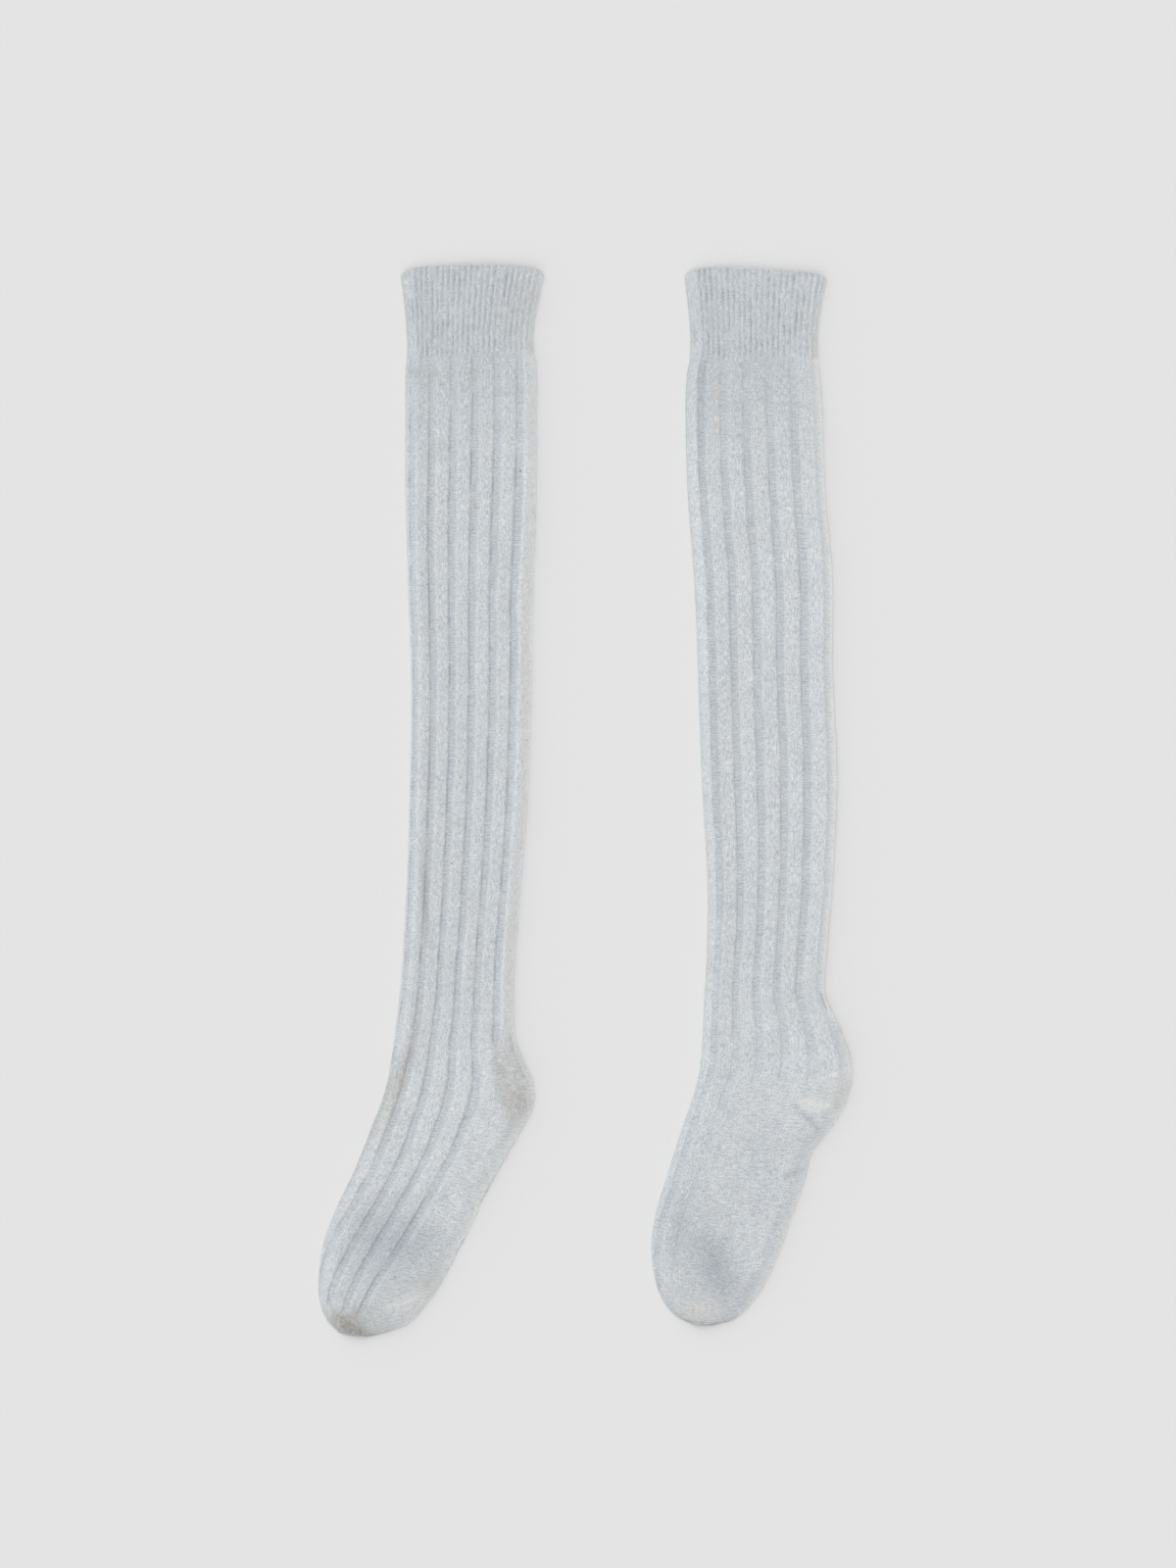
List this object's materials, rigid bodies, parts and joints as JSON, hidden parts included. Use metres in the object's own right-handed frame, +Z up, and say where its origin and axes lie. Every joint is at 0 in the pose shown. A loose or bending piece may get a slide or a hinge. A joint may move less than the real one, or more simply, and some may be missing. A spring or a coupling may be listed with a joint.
{
  "type": "pair of socks",
  "caption": "Long over-knee socks in fuzzy wide-ribbed knit, with narrow-ribbed cuffs, turned heels and plain toes, laid flat side by side.",
  "frame": {"origin": "middle of the pair's bounding box, on the surface that both socks lie on", "axes": "+X across the pair to the right, +Y from the toes to the cuffs, +Z up out of the surface"},
  "size_m": [0.3624, 0.727, 0.0095],
  "materials": {
    "knit": "matte, brushed and slightly fuzzy wool-blend rib knit in pale grey-blue"
  },
  "bodies": {
    "root": {"sock_left": "knit", "sock_right": "knit"}
  },
  "joints": []
}
